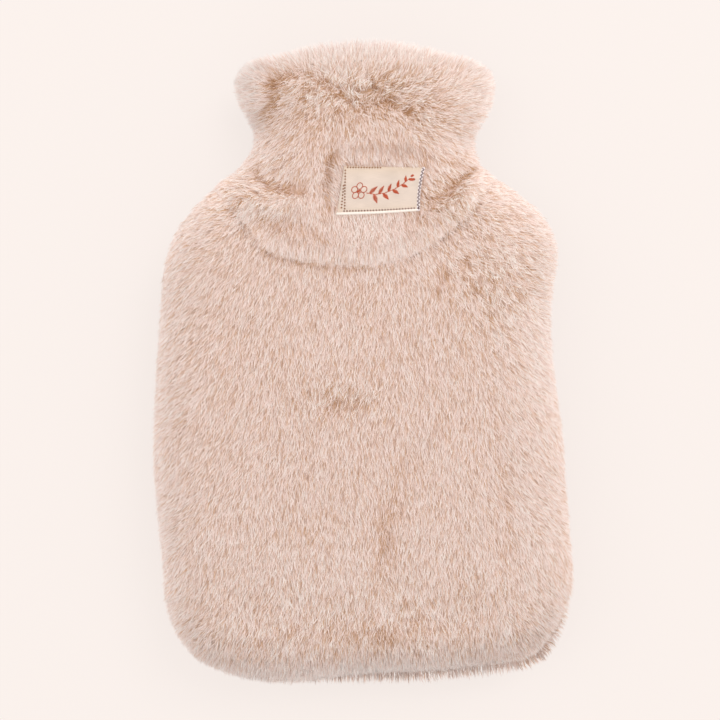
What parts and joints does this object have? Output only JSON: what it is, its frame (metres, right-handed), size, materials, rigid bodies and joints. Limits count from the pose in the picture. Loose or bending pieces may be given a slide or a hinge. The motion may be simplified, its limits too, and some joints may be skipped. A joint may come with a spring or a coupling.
{
  "type": "hot water bottle cover",
  "caption": "Plush slip-on cover for a flat hot water bottle: rounded body, waisted open neck, curved bib flap with a small woven label.",
  "frame": {"origin": "middle of the cover's bounding box, on the surface it lies on", "axes": "+Y from the bottom edge to the neck's open rim, +X to the right seen from the front, +Z out of the front. The cover lies on its back."},
  "size_m": [0.2205, 0.334, 0.0612],
  "materials": {
    "plush": "long soft plush pile, dusty pink beige, brushed downwards",
    "neck_plush": "the same plush, ruffled round the rim",
    "shaded_plush": "the same plush on the back",
    "woven_label": "cream plain weave with sewn edges"
  },
  "bodies": {
    "root": {"back_panel": "shaded_plush", "front_panel": "plush", "neck_flap": "neck_plush", "label": "woven_label"}
  },
  "joints": []
}
